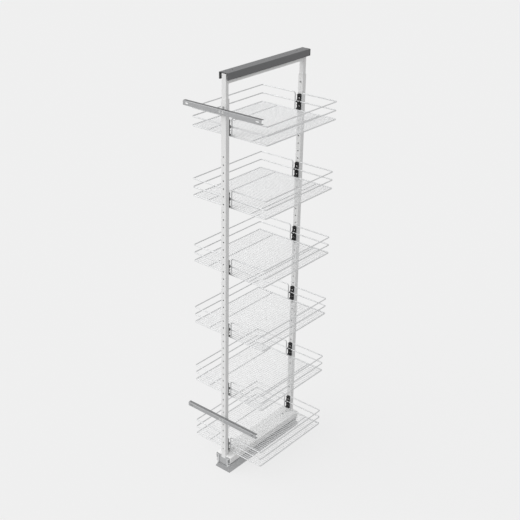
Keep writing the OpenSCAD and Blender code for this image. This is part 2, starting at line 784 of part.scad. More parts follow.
// Hooks under the middle rail, left and right of the window, that the rail snaps into
module snap_hooks(low, arm) {
    lip_in = clip_t + rim_wire + 2 * face_fit;
    lip_out = lip_in + hook_lip;
    rise = mid_rail + rim_out;                  // the lip rises as high as the wire
    hook_w = (clip_w - window_d) / 2;
    for (x = ends) translate([x * (clip_w - hook_w) / 2, 0, 0])
        bar_x(hook_w) polygon([[clip_t - 1, low - arm], [clip_t, low - arm], [lip_out, low - arm / 3],
            [lip_out, rise - hook_lip / 2], [lip_out - hook_lip / 2, rise], [lip_in, rise - hook_lip / 3],
            [lip_in, low], [clip_t - 1, low]]);
}

// Keyhole for a stud at height z: a narrow slot down to a round entry
module keyhole(z, d_slot, d_entry) {
    translate([-d_slot / 2, z - lift_travel]) square([d_slot, lift_travel]);
    translate([0, z]) circle(d = d_slot);
    translate([0, z - lift_travel]) circle(d = d_entry);
}

module at_depth(n, h) {
    translate([0, n + h, 0]) rotate([90, 0, 0]) linear_extrude(height = h) children();
}

module clip() {
    slot = hole_d - 2 * seat_fit + 2 * face_fit;
    entry = stud_head_d + 2 * face_fit;
    studs = [stud_low, stud_low + hole_pitch];
    pocket_h = stud_head_h + 2 * face_fit;
    wire_low = mid_rail - rim_out - seat_fit;   // under the middle rail
    wire_high = mid_rail + rim_out + seat_fit;  // over the middle rail
    ledge_low = wire_low - ledge_h;
    tooth_high = stud_low + ledge_h;            // upper edge of the ridge over the lower stud
    pocket_n = face_fit + clip_back;
    difference() {
        union() {
            at_depth(face_fit, clip_t - face_fit) clip_body();
            ridge(clip_low, foot_ridge[0], foot_ridge[1]);
            ridge(tooth_high - stud_ridge[0], stud_ridge[0], stud_ridge[1]);
            mirror_z(wire_low) ridge(0, ledge_h, ledge_out);
            snap_hooks(wire_low, ledge_h);
            ridge(wire_high, ledge_h, ledge_out);
            ridge(clip_high - 2 * top_ridge[0], top_ridge[0], top_ridge[1]);
        }
        at_depth(face_fit - eps, clip_back + 2 * eps) for (z = studs) keyhole(z, slot, entry);
        at_depth(pocket_n, pocket_h) for (z = studs) keyhole(z, entry, entry);
        at_depth(pocket_n + pocket_h - eps, clip_t) {
            for (z = studs) translate([0, z - window_drop]) circle(d = window_d);
            translate([0, (tooth_high + ledge_low) / 2])
                square([window_d, ledge_low - tooth_high - 1], center = true);
        }
    }
}

// Turns a ridge upside down, so that its flat side is at the top, at height z
module mirror_z(z) { translate([0, 0, z]) mirror([0, 0, 1]) children(); }

module basket_clips(i) {
    color(black_plastic) both_ends()
        translate([0, post_in, level(i)]) mirror([0, 1, 0]) clip();
}

// ---- nodes --------------------------------------------------------------------------

floor_plate();
mirror([1, 0, 0]) slide_carrier();  // left_carrier
slide_carrier();  // right_carrier
mirror([1, 0, 0]) fixed_slide();  // left_fixed_slide
fixed_slide();  // right_fixed_slide
slide_buffers();
mirror([1, 0, 0]) middle_slide();  // left_middle_slide
middle_slide();  // right_middle_slide
color(zinc) outer_rows("cage");  // outer_ball_cages
color(steel) outer_rows("balls");  // outer_balls
color(zinc) inner_rows("cage");  // inner_ball_cages
color(steel) inner_rows("balls");  // inner_balls
mirror([1, 0, 0]) moving_slide();  // left_moving_slide
moving_slide();  // right_moving_slide
beam();
mirror([0, 1, 0]) foot();  // front_foot
foot();  // rear_foot
foot_screws();
mirror([0, 1, 0]) upright(true);  // front_upright
upright(false);  // rear_upright
clamp_screws();
basket_studs();
door_bracket(upper_bracket_z);  // upper_bracket
door_bracket(lower_bracket_z);  // lower_bracket
bracket_spacer(upper_bracket_z);  // upper_spacer
bracket_spacer(lower_bracket_z);  // lower_spacer
bracket_screws();
mirror([0, 1, 0]) inner_post();  // front_inner_post
inner_post();  // rear_inner_post
top_tube();
mirror([0, 1, 0]) roller_carrier();  // front_roller_carrier
roller_carrier();  // rear_roller_carrier
roller_pins();
roller(-roller_y);  // front_roller
roller(roller_y);  // rear_roller
guide_rail();
guide_rail_end();
for (i = [0 : basket_count - 1]) {
    basket_floor(i);
    basket_rails(i);
    basket_clips(i);
}
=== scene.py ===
import json
from math import radians

import bmesh
import bpy
import numpy as np
from mathutils import Euler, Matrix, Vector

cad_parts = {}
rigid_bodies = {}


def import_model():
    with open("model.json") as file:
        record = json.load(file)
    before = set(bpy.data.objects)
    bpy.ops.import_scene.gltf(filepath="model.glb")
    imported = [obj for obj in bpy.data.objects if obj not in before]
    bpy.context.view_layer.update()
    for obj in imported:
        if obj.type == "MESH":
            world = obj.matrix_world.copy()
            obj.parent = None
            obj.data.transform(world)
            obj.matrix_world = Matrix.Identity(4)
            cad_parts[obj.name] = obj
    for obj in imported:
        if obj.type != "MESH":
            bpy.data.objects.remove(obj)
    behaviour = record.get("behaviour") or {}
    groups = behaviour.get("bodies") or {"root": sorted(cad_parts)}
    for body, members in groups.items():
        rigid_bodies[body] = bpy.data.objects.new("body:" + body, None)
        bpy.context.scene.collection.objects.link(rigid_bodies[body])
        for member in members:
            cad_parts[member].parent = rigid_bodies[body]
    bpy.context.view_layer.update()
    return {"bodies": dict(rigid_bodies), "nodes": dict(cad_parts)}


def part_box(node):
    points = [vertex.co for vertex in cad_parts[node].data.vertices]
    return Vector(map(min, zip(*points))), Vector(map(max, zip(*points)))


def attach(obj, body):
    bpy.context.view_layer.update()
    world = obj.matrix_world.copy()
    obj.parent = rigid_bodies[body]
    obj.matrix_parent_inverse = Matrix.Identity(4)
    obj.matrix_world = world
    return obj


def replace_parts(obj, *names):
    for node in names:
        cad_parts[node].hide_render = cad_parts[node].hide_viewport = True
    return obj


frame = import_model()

nodes = frame["nodes"]
scene = bpy.context.scene


# ---- Camera, floor and light ---------------------------------------------------------
# The unit is seen from the right and a little above, by a long lens. It stands on a pale
# studio floor that runs on into a backdrop of the same tone, in soft light from the door side.

camera_data = bpy.data.cameras.new("camera")
camera_data.sensor_width = 36
camera_data.lens = 67.25
camera_data.shift_x = 0.0713
camera_data.shift_y = 0.0575
camera_data.dof.use_dof = False
camera = bpy.data.objects.new("camera", camera_data)
camera.location = (2.28683, -2.84127, 2.68251)
camera.rotation_euler = Euler((radians(90 - 27.35), 0, radians(41.37)))
scene.collection.objects.link(camera)
scene.camera = camera
scene.view_settings.view_transform = "Standard"


def put(tree, kind, sockets=None, **settings):
    """One shader node. A socket gets a number or colour, or the output that is joined to it."""
    made = tree.nodes.new(kind)
    for name, value in settings.items():
        setattr(made, name, value)
    for name, value in (sockets or {}).items():
        if isinstance(value, bpy.types.NodeSocket):
            tree.links.new(value, made.inputs[name])
        else:
            made.inputs[name].default_value = value
    return made


backdrop_tone = (0.866, 0.866, 0.866, 1)
sky_light = 0.62


def seen_directly(tree):
    """1 for rays from the camera, and for those mirrored or let through to it, else 0."""
    path = put(tree, "ShaderNodeLightPath")
    total = put(tree, "ShaderNodeMath", {0: path.outputs["Is Camera Ray"],
                1: path.outputs["Is Glossy Ray"]}, operation="ADD")
    total = put(tree, "ShaderNodeMath", {0: total.outputs[0],
                1: path.outputs["Is Transmission Ray"]}, operation="ADD", use_clamp=True)
    return total.outputs[0]


world = bpy.data.worlds.new("studio")
world.use_nodes = True
tree = world.node_tree
tree.nodes.clear()
sky = put(tree, "ShaderNodeBackground", {"Color": (1, 1, 1, 1), "Strength": sky_light})
shown = put(tree, "ShaderNodeBackground", {"Color": backdrop_tone, "Strength": 1.0})
mixed = put(tree, "ShaderNodeMixShader", {0: seen_directly(tree), 1: sky.outputs[0], 2: shown.outputs[0]})
put(tree, "ShaderNodeOutputWorld", {"Surface": mixed.outputs[0]})
scene.world = world

floor_half = 40.0
floor_keep = 0.14                                # share of the real shading left in the floor
bounce_tone = (0.5, 0.5, 0.5, 1)                 # the floor as it lights the unit from below
floor_corners = [(x * floor_half, y * floor_half, 0) for x, y in ((-1, -1), (1, -1), (1, 1), (-1, 1))]
floor_mesh = bpy.data.meshes.new("studio_floor")
floor_mesh.from_pydata(floor_corners, [], [(0, 1, 2, 3)])
floor = bpy.data.objects.new("studio_floor", floor_mesh)
scene.collection.objects.link(floor)
floor_paint = bpy.data.materials.new("studio_floor")
floor_paint.use_nodes = True
tree = floor_paint.node_tree
tree.nodes.clear()
geometry = put(tree, "ShaderNodeNewGeometry")
shaded = put(tree, "ShaderNodeBsdfDiffuse", {"Color": backdrop_tone})
glow = put(tree, "ShaderNodeEmission", {"Color": backdrop_tone, "Strength": 1.0})
lit = put(tree, "ShaderNodeMixShader", {0: floor_keep, 1: glow.outputs[0], 2: shaded.outputs[0]})
dull = put(tree, "ShaderNodeBsdfDiffuse", {"Color": bounce_tone})
top = put(tree, "ShaderNodeMixShader", {0: seen_directly(tree), 1: dull.outputs[0], 2: lit.outputs[0]})
below = put(tree, "ShaderNodeBsdfTransparent")
both = put(tree, "ShaderNodeMixShader", {0: geometry.outputs["Backfacing"], 1: top.outputs[0],
           2: below.outputs[0]})
put(tree, "ShaderNodeOutputMaterial", {"Surface": both.outputs[0]})
floor_mesh.materials.append(floor_paint)

key_data = bpy.data.lights.new("key", "SUN")
key_data.energy = 1.75
key_data.angle = radians(75)
key = bpy.data.objects.new("key", key_data)
key.rotation_euler = Euler((radians(47), 0, radians(-38)))
scene.collection.objects.link(key)


# ---- Floor plate, carriers and fixed slides --------------------------------------------
# Galvanised sheet: the plate has a pressed bead and sides that lean in to the slides, and is
# screwed to the cabinet floor; the carriers are folded angles; the slides are rolled from strip.

plate_zinc = (0.56, 0.565, 0.57, 1)
strip_zinc = (0.78, 0.785, 0.79, 1)


def effect(name, inputs, outputs):
    """Empty shader group with number inputs (name, value) and outputs (name, socket type)."""
    group = bpy.data.node_groups.new(name, "ShaderNodeTree")
    for label, value in inputs:
        socket = group.interface.new_socket(label, in_out="INPUT", socket_type="NodeSocketFloat")
        socket.default_value = value
    for label, kind in outputs:
        group.interface.new_socket(label, in_out="OUTPUT", socket_type=kind)
    return group, put(group, "NodeGroupInput"), put(group, "NodeGroupOutput")


def give(group, output, name, socket):
    """Joins a socket to one of the group's outputs."""
    group.links.new(socket, output.inputs[name])


# Rounds the look of sharp edges and finds them: 1 on an edge, 0 on a flat
eased_edge, gin, gout = effect("eased_edge", [("Radius", 0.0004)],
                               [("Normal", "NodeSocketVector"), ("Edge", "NodeSocketFloat")])
bevel = put(eased_edge, "ShaderNodeBevel", {"Radius": gin.outputs["Radius"]}, samples=6)
geometry = put(eased_edge, "ShaderNodeNewGeometry")
turned = put(eased_edge, "ShaderNodeVectorMath", {0: bevel.outputs["Normal"],
             1: geometry.outputs["Normal"]}, operation="DOT_PRODUCT")
edge = put(eased_edge, "ShaderNodeMapRange", {"Value": turned.outputs["Value"], "From Min": 0.995,
           "From Max": 0.80, "To Min": 0.0, "To Max": 1.0})
give(eased_edge, gout, "Normal", bevel.outputs["Normal"])
give(eased_edge, gout, "Edge", edge.outputs["Result"])

# Crystals of a zinc coat: flat cells, each a shade lighter or darker, with fine tarnish over them
spangle, gin, gout = effect("zinc_spangle", [("Cells per metre", 140.0)],
                            [("Shade", "NodeSocketFloat"), ("Tarnish", "NodeSocketFloat")])
where = put(spangle, "ShaderNodeTexCoord")
cells = put(spangle, "ShaderNodeTexVoronoi", {"Vector": where.outputs["Object"],
            "Scale": gin.outputs["Cells per metre"]}, feature="F1")
shade = put(spangle, "ShaderNodeSeparateColor", {"Color": cells.outputs["Color"]})
tarnish = put(spangle, "ShaderNodeTexNoise", {"Vector": where.outputs["Object"], "Scale": 22.0,
              "Detail": 6.0, "Roughness": 0.62})
give(spangle, gout, "Shade", shade.outputs["Red"])
give(spangle, gout, "Tarnish", tarnish.outputs["Fac"])

# Fine lines that rolling or drawing leaves, along Y
drawn_lines, gin, gout = effect("drawn_lines", [("Lines per metre", 1400.0)],
                                [("Line", "NodeSocketFloat")])
where = put(drawn_lines, "ShaderNodeTexCoord")
across = put(drawn_lines, "ShaderNodeVectorMath", {0: where.outputs["Object"], 1: (1.0, 0.012, 1.0)},
             operation="MULTIPLY")
line = put(drawn_lines, "ShaderNodeTexNoise", {"Vector": across.outputs[0],
           "Scale": gin.outputs["Lines per metre"], "Detail": 3.0, "Roughness": 0.55})
give(drawn_lines, gout, "Line", line.outputs["Fac"])


def use(tree, group, **values):
    """One of the effect groups, placed in a material with its own values."""
    placed = put(tree, "ShaderNodeGroup", node_tree=group)
    for name, value in values.items():
        placed.inputs[name.replace("_", " ")].default_value = value
    return placed


def blank(name):
    """New material, its tree and its Principled shader."""
    made = bpy.data.materials.new(name)
    made.use_nodes = True
    return made, made.node_tree, made.node_tree.nodes["Principled BSDF"]


def spread(tree, value, low, high):
    """A value from 0 to 1 stretched to the range from low to high."""
    stretched = put(tree, "ShaderNodeMapRange", {"Value": value, "To Min": low, "To Max": high})
    return stretched.outputs["Result"]


def toned(tree, colour, factor):
    """A colour that a factor makes lighter or darker."""
    colour = colour if isinstance(colour, bpy.types.NodeSocket) else colour[:3]
    scaled = put(tree, "ShaderNodeVectorMath", {0: colour, "Scale": factor}, operation="SCALE")
    return scaled.outputs["Vector"]


def times(tree, a, b):
    """Product of two values."""
    return put(tree, "ShaderNodeMath", {0: a, 1: b}, operation="MULTIPLY").outputs[0]


def feed(tree, skin, colour, rough, bump):
    """Joins a finish's colour, roughness and bump, given by its sockets, to the shader."""
    tree.links.new(colour, skin.inputs["Base Color"])
    tree.links.new(rough, skin.inputs["Roughness"])
    dented = put(tree, "ShaderNodeBump", bump)
    tree.links.new(dented.outputs["Normal"], skin.inputs["Normal"])


def galvanised(name, colour, cells, metal=0.55):
    """Zinc coat on sheet: spangle, tarnish, and a bright rub along the edges."""
    made, tree, skin = blank(name)
    coat = use(tree, spangle, Cells_per_metre=cells)
    rub = use(tree, eased_edge, Radius=0.0005)
    lines = use(tree, drawn_lines, Lines_per_metre=900.0)
    patch = spread(tree, coat.outputs["Shade"], 0.95, 1.05)
    cloud = spread(tree, coat.outputs["Tarnish"], 0.9, 1.08)
    bright = spread(tree, rub.outputs["Edge"], 1.0, 1.18)
    tone = times(tree, times(tree, patch, cloud), bright)
    dulled = spread(tree, coat.outputs["Shade"], 0.40, 0.54)
    skin.inputs["Metallic"].default_value = metal
    feed(tree, skin, toned(tree, colour, tone), dulled, {"Strength": 0.25, "Distance": 0.00003,
         "Height": lines.outputs["Line"], "Normal": rub.outputs["Normal"]})
    return made


def dress(material, *names):
    """Gives CAD nodes their finish."""
    for name in names:
        for place in nodes[name].material_slots:
            place.material = material


def tinted(finish, axis, start, stop, share):
    """Changes a finish's colour by a share where a coordinate's size has passed from start to stop."""
    tree = finish.node_tree
    colour = tree.nodes["Principled BSDF"].inputs["Base Color"]
    where = put(tree, "ShaderNodeTexCoord")
    parts = put(tree, "ShaderNodeSeparateXYZ", {"Vector": where.outputs["Object"]})
    size = put(tree, "ShaderNodeMath", {0: parts.outputs[axis]}, operation="ABSOLUTE")
    tone = put(tree, "ShaderNodeMapRange", {"Value": size.outputs[0], "From Min": start, "From Max": stop,
               "To Min": 1.0, "To Max": share})
    tree.links.new(toned(tree, colour.links[0].from_socket, tone.outputs["Result"]), colour)
    return finish


painted_light_share = 1.6                               # painted light: the zinc is painted lighter between the carriers, where it lies in shade
painted_light_from = 0.004                              # how far outside their backs the painted light sets in
painted_light_full = 0.001                              # and where it is full
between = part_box("right_carrier")[0].x
plate_finish = galvanised("galvanised_plate", plate_zinc, cells=150.0, metal=0.25)
# Painted light: the plate's colour is raised between the carriers, in the shaded inside of the base
tinted(plate_finish, "X", between + painted_light_from, between + painted_light_full, painted_light_share)
strip_finish = galvanised("galvanised_strip", strip_zinc, cells=420.0, metal=0.4)
dress(plate_finish, "floor_plate", "left_carrier", "right_carrier")
dress(strip_finish, "left_fixed_slide", "right_fixed_slide")


# ---- Slide buffers ---------------------------------------------------------------------
# Two blocks of soft black rubber, pressed into the rear of the fixed slides, where the
# moving slides come to rest.

rubber = (0.022, 0.022, 0.023, 1)


def moulded(name, colour, rough, grain, pores):
    """Moulded plastic or rubber: an eroded grain, softer edges and a faint cloud of colour."""
    made, tree, skin = blank(name)
    where = put(tree, "ShaderNodeTexCoord")
    erosion = put(tree, "ShaderNodeTexNoise", {"Vector": where.outputs["Object"], "Scale": grain,
                  "Detail": 4.0, "Roughness": 0.7})
    cloud = put(tree, "ShaderNodeTexNoise", {"Vector": where.outputs["Object"], "Scale": 60.0,
                "Detail": 3.0})
    rub = use(tree, eased_edge, Radius=0.0006)
    patch = spread(tree, cloud.outputs["Fac"], 0.88, 1.12)
    bright = spread(tree, rub.outputs["Edge"], 1.0, 1.5)
    matt = spread(tree, erosion.outputs["Fac"], rough - 0.08, rough + 0.08)
    feed(tree, skin, toned(tree, colour, times(tree, patch, bright)), matt, {"Strength": 0.5,
         "Distance": pores, "Height": erosion.outputs["Fac"], "Normal": rub.outputs["Normal"]})
    return made


dress(moulded("buffer_rubber", rubber, rough=0.72, grain=1600.0, pores=0.00005), "slide_buffers")


# ---- Middle slides, ball cages and balls -------------------------------------------------
# The middle profiles run between the fixed and the moving ones on rows of hardened balls.
# Pressed strip cages space the balls.

middle_zinc = (0.52, 0.525, 0.53, 1)
cage_zinc = (0.60, 0.60, 0.59, 1)
ball_steel = (0.78, 0.785, 0.79, 1)


def polished(name, colour, rough, scratches, metal=0.95):
    """Bright steel with hair scratches that break up its gloss."""
    made, tree, skin = blank(name)
    where = put(tree, "ShaderNodeTexCoord")
    hair = put(tree, "ShaderNodeTexNoise", {"Vector": where.outputs["Object"], "Scale": scratches,
               "Detail": 5.0, "Roughness": 0.7, "Distortion": 0.6})
    rub = use(tree, eased_edge, Radius=0.0003)
    shine = spread(tree, hair.outputs["Fac"], 0.9, 1.06)
    worn = spread(tree, hair.outputs["Fac"], rough - 0.07, rough + 0.09)
    skin.inputs["Metallic"].default_value = metal
    feed(tree, skin, toned(tree, colour, shine), worn, {"Strength": 0.2, "Distance": 0.00001,
         "Height": hair.outputs["Fac"], "Normal": rub.outputs["Normal"]})
    return made


middle_finish = galvanised("rolled_middle_strip", middle_zinc, cells=420.0, metal=0.7)
ball_finish = polished("ball_steel", ball_steel, rough=0.16, scratches=900.0)
cage_finish = galvanised("cage_strip", cage_zinc, cells=600.0, metal=0.7)
dress(middle_finish, "left_middle_slide", "right_middle_slide")
dress(cage_finish, "outer_ball_cages", "inner_ball_cages")
dress(ball_finish, "outer_balls", "inner_balls")


# ---- Moving slides, beam and feet --------------------------------------------------------
# The beam is a folded cover in off-white powder coat. Two zinc-plated feet under its ends
# carry the uprights. Each has two pan-head screws, a plug in the tube and an apron at the end.

beam_white = (0.96, 0.96, 0.955, 1)

# Skin of a powder coat: shallow waves with finer pits on them
orange_peel, gin, gout = effect("orange_peel", [("Waves per metre", 420.0), ("Depth", 0.00004)],
                                [("Wave", "NodeSocketFloat"), ("Cloud", "NodeSocketFloat"),
                                 ("Height", "NodeSocketFloat")])
where = put(orange_peel, "ShaderNodeTexCoord")
wave = put(orange_peel, "ShaderNodeTexNoise", {"Vector": where.outputs["Object"],
           "Scale": gin.outputs["Waves per metre"], "Detail": 2.5, "Roughness": 0.5})
cloud = put(orange_peel, "ShaderNodeTexNoise", {"Vector": where.outputs["Object"], "Scale": 7.0,
            "Detail": 5.0, "Roughness": 0.55})
deep = put(orange_peel, "ShaderNodeMath", {0: wave.outputs["Fac"], 1: gin.outputs["Depth"]},
           operation="MULTIPLY")
give(orange_peel, gout, "Wave", wave.outputs["Fac"])
give(orange_peel, gout, "Cloud", cloud.outputs["Fac"])
give(orange_peel, gout, "Height", deep.outputs[0])


def powder_coat(name, colour, rough, thin=1.1):
    """Baked powder coat: orange peel, a faint cloud of tone, and a thinner coat on the edges."""
    made, tree, skin = blank(name)
    peel = use(tree, orange_peel)
    rub = use(tree, eased_edge, Radius=0.0006)
    patch = spread(tree, peel.outputs["Cloud"], 0.965, 1.035)
    bright = spread(tree, rub.outputs["Edge"], 1.0, thin)
    satin = spread(tree, peel.outputs["Wave"], rough - 0.07, rough + 0.07)
    feed(tree, skin, toned(tree, colour, times(tree, patch, bright)), satin, {"Strength": 0.6,
         "Distance": 1.0, "Height": peel.outputs["Height"], "Normal": rub.outputs["Normal"]})
    return made


dress(strip_finish, "left_moving_slide", "right_moving_slide")
dress(powder_coat("beam_white", beam_white, rough=0.42), "beam")
foot_zinc = (0.50, 0.505, 0.51, 1)
dress(galvanised("galvanised_feet", foot_zinc, cells=240.0), "front_foot", "rear_foot")

crease = radians(50)                             # a sharper turn between faces keeps its edge
x_way, y_way, z_way = np.eye(3)


def skin_of(grids):
    """Vertices and faces of several ring grids. Quads join ring j to ring j + 1, a closed grid's
    last ring joins its first, and an open grid's end rings are each closed by one face."""
    points, quads, caps, start = [], [], [], 0
    for rings, closed in grids:
        n, m = rings.shape[:2]
        j = np.arange(n if closed else n - 1)[:, None]
        k = np.arange(m)[None, :]
        a = j * m + k
        b = j * m + (k + 1) % m
        c = ((j + 1) % n) * m + (k + 1) % m
        d = ((j + 1) % n) * m + k
        quads.append(start + np.stack([a, b, c, d], -1).reshape(-1, 4))
        if not closed:
            caps += [list(start + np.arange(m)[::-1]), list(start + (n - 1) * m + np.arange(m))]
        points.append(rings.reshape(-1, 3))
        start += n * m
    return np.vstack(points), np.vstack(quads).tolist() + caps


def piece(name, grids, material, body):
    """One piece from ring grids, smooth but for its creases, riding on a body."""
    points, faces = skin_of(grids)
    mesh = bpy.data.meshes.new(name)
    mesh.from_pydata(points.tolist(), [], faces)
    mesh.polygons.foreach_set("use_smooth", np.ones(len(mesh.polygons), bool))
    mesh.set_sharp_from_angle(angle=crease)
    mesh.materials.append(material)
    mesh.update()
    made = bpy.data.objects.new(name, mesh)
    scene.collection.objects.link(made)
    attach(made, body)
    return made


def plain(t):
    """Outline of a round ring: radius 1 all round."""
    return np.ones_like(t)


cross_arm = 0.3                                  # half width of a recess's arm, as a share of its reach


def cross(t):
    """Outline of a cross recess: r = cross_arm / min(|sin t|, |cos t|), but no more than 1."""
    nearest = np.minimum(np.abs(np.sin(t)), np.abs(np.cos(t)))
    return cross_arm / np.maximum(nearest, cross_arm)


def hexagon(t):
    """Outline of a hexagon socket with corners at radius 1: r = cos 30 / cos((t mod 60) - 30)."""
    return np.cos(radians(30)) / np.cos(np.mod(t, radians(60)) - radians(30))


def screw(centre, outward, shank, length, head, height, socket, reach, depth, crown, sides=48):
    """Screw on an axis, from the shank's end over the head and down into its recess. Ring j is
    centre + up * outward + r * outline(t) * (cos t * across + sin t * over), t once round.
    Each ring is r, up and outline, and its numbers are shares of the screw's radii and heights."""
    out = np.asarray(outward, float)
    across = np.roll(out, 1)
    over = np.cross(out, across)
    t = np.arange(sides) * 2 * np.pi / sides
    spokes = np.cos(t)[:, None] * across + np.sin(t)[:, None] * over
    shaft = [(0.8 * shank, -length, plain), (shank, 0.2 * shank - length, plain), (shank, 0, plain)]
    side = [(0.97 * head, 0, plain), (head, 0.06 * height, plain)]
    bend = np.radians([0, 25, 50, 70, 84])       # the crown is an ellipse, from the side to the top
    crowned = [(head * (1 - crown * (1 - np.cos(a))), height * (1 - crown * (1 - np.sin(a))), plain)
               for a in bend]
    recess = [(1.12 * reach, height, plain), (reach, 0.99 * height, socket),
              (0.9 * reach, height - 0.6 * depth, socket), (0.55 * reach, height - depth, socket)]
    rings = np.stack([centre + up * out + r * outline(t)[:, None] * spokes
                      for r, up, outline in shaft + side + crowned + recess])
    return rings, False


screw_steel = (0.70, 0.705, 0.70, 1)
screw_finish = polished("zinc_plated_screws", screw_steel, rough=0.26, scratches=1400.0)
low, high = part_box("foot_screws")
head = high.x
head_up = 0.003                                  # height of a pan head
second = 0.030                                   # from a foot's outer screw to its inner one
outer_y = high.y - head
under_head = high.z - head_up
grid = [screw((0, y, under_head), z_way, shank=0.0029, length=under_head - low.z, head=head,
              height=head_up, socket=cross, reach=0.0032, depth=0.0018, crown=0.5)
        for y in (-outer_y, second - outer_y, outer_y - second, outer_y)]
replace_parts(piece("foot_pan_screws", grid, screw_finish, "frame"), "foot_screws")


# ---- Front flap --------------------------------------------------------------------------
# A flap of zinc-coated sheet closes the base's front end. It stands on the cabinet floor before
# the plate's leaning sides. Its top is bent in between the carriers, just below the foot's apron.

flap_zinc = (0.40, 0.404, 0.41, 1)
flap_t = 0.001                                   # thickness of the sheet
flap_gap = 0.0012                                # from the flap's top to the apron
lip_reach = 0.012                                # how far the bent top goes back
lip_gap = 0.0003                                 # from the bent top to each carrier
side_slope = radians(61)                         # how the plate's sides lean
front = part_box("floor_plate")[0].y
base_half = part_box("floor_plate")[1].x
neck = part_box("right_fixed_slide")[0].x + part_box("right_carrier")[0].z
lean_top = (base_half - neck) * np.tan(side_slope)
flap_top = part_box("front_foot")[0].z - flap_gap
half_outline = np.array([(base_half, 0, 0), (neck, 0, lean_top), (neck, 0, flap_top)])
outline = np.vstack([half_outline, half_outline[::-1] * (-1, 1, 1)])
flap = np.stack([outline + (0, front, 0), outline + (0, front - flap_t, 0)])
lip_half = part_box("right_carrier")[0].x - lip_gap
lip_back = front + lip_reach
lip_outline = np.array([(lip_half, front, 0), (lip_half, lip_back, 0),
                        (-lip_half, lip_back, 0), (-lip_half, front, 0)])
lip = np.stack([lip_outline + (0, 0, flap_top - flap_t), lip_outline + (0, 0, flap_top)])
flap_finish = galvanised("galvanised_flap", flap_zinc, cells=150.0)
piece("front_flap", [(flap, False), (lip, False)], flap_finish, "base")


# ---- Uprights, clamp screws and studs ----------------------------------------------------
# Rectangular steel tubes, punched with rows of holes at the cabinet pitch and coated in a
# satin silver-grey. Shouldered studs are riveted in them, and a screw clamps each inner post.

post_silver = (0.835, 0.835, 0.832, 1)
post_finish = powder_coat("post_silver", post_silver, rough=0.36)
dress(post_finish, "front_upright", "rear_upright")
stud_bright = (0.93, 0.93, 0.925, 1)
dress(polished("bright_studs", stud_bright, rough=0.34, scratches=700.0, metal=0.25), "basket_studs")

oxide = (0.40, 0.402, 0.405, 1)
clamp_finish = polished("dark_clamp_screws", oxide, rough=0.34, scratches=1400.0)
low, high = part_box("clamp_screws")
head = high.x
head_up = 0.002                                  # height of a clamp screw's head
front_length = 0.0017                            # of the front screw, under its head
clamp_z = (low.z + high.z) / 2
rear_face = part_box("rear_upright")[0].y          # the rear screw's head lies on this face
grid = [screw((0, face, clamp_z), -y_way, shank=0.0023, length=length, head=head, height=head_up,
              socket=hexagon, reach=0.0023, depth=0.0014, crown=0.35)
        for face, length in ((low.y + head_up, front_length), (rear_face, high.y - rear_face))]
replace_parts(piece("clamp_socket_screws", grid, clamp_finish, "frame"), "clamp_screws")


# ---- Door brackets -----------------------------------------------------------------------
# Folded channels of zinc-plated strip, slotted near their ends for the door screws, with a
# die-cast block inside that passes the screws' load to the upright. Painted shade darkens the top flange.

bracket_zinc = (0.44, 0.444, 0.45, 1)
painted_shade_shares = {"upper_bracket": 0.36, "lower_bracket": 0.59}      # painted shade: tone of the upper flange's outside, one for each bracket
painted_shade_from = 0.0006                               # how far under that outside the painted shade sets in
painted_shade_full = 0.0001                               # and where it is full
casting_zinc = (0.52, 0.52, 0.525, 1)
for name, share in painted_shade_shares.items():
    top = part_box(name)[1].z
    bracket_strip = galvanised(f"{name}_strip", bracket_zinc, cells=300.0)
    # Painted shade: the outside of the upper flange is painted darker
    dress(tinted(bracket_strip, "Z", top - painted_shade_from, top - painted_shade_full, share), name)
casting_finish = moulded("die_cast_zinc", casting_zinc, rough=0.45, grain=900.0, pores=0.00006)
dress(casting_finish, "upper_spacer", "lower_spacer")
low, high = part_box("bracket_screws")
head = 0.0045                                    # radius of a screw's flat head
head_up = 0.0015                                 # its height, sunk in the strip
screw_x = high.x - head
under_head = low.y + head_up
grid = [screw((x, under_head, z), -y_way, shank=0.0024, length=high.y - low.y - head_up, head=head,
              height=head_up, socket=cross, reach=0.0027, depth=0.0013, crown=0.2)
        for z in (low.z + head, high.z - head) for x in (-screw_x, screw_x)]
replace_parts(piece("bracket_flat_screws", grid, screw_finish, "frame"), "bracket_screws")


# ---- Inner posts, top tube and guide rollers ---------------------------------------------
# The inner posts are tubes that slide in the uprights and set the height. A cross tube is welded
# between them, and bent plates on it carry pins with nylon rollers that run in the guide rail.

slant = np.array([0.48, -0.31, 0.82])            # never along a wire, so each ring can be set square to it


def unit(v):
    """Vectors brought to length 1, row by row."""
    return v / np.linalg.norm(v, axis=1)[:, None]


def tube(path, radius, sides=16, closed=False):
    """Wire or bead along a path, of one radius or one for each point. Ring j of the grid is
    path[j] + radius * (cos t * across + sin t * over), where across = slant x along and
    over = along x across, and t runs once round in equal steps. An open wire ends in two
    half balls: rings drawn in by cos s and moved on by sin s."""
    path = np.asarray(path, float)
    if closed:
        back = path - np.roll(path, 1, 0)
        ahead = np.roll(path, -1, 0) - path
    else:
        hops = np.diff(path, axis=0)
        back = np.vstack([hops[:1], hops])
        ahead = np.vstack([hops, hops[-1:]])
    along = unit(unit(back) + unit(ahead))
    size = np.full(len(path), radius)
    if not closed:
        s = radians(90) * np.array([0.98, 0.66, 0.33])           # from the pole to the wire's end
        path = np.vstack([path[0] - size[0] * np.sin(s)[:, None] * along[0], path,
                          path[-1] + size[-1] * np.sin(s[::-1])[:, None] * along[-1]])
        along = np.vstack([np.tile(along[0], (3, 1)), along, np.tile(along[-1], (3, 1))])
        size = np.hstack([size[0] * np.cos(s), size, size[-1] * np.cos(s[::-1])])
    across = unit(np.cross(slant, along))
    over = np.cross(along, across)
    t = np.arange(sides) * 2 * np.pi / sides
    rings = path[:, None] + size[:, None, None] * (np.cos(t)[None, :, None] * across[:, None]
                                                  + np.sin(t)[None, :, None] * over[:, None])
    return rings, closed


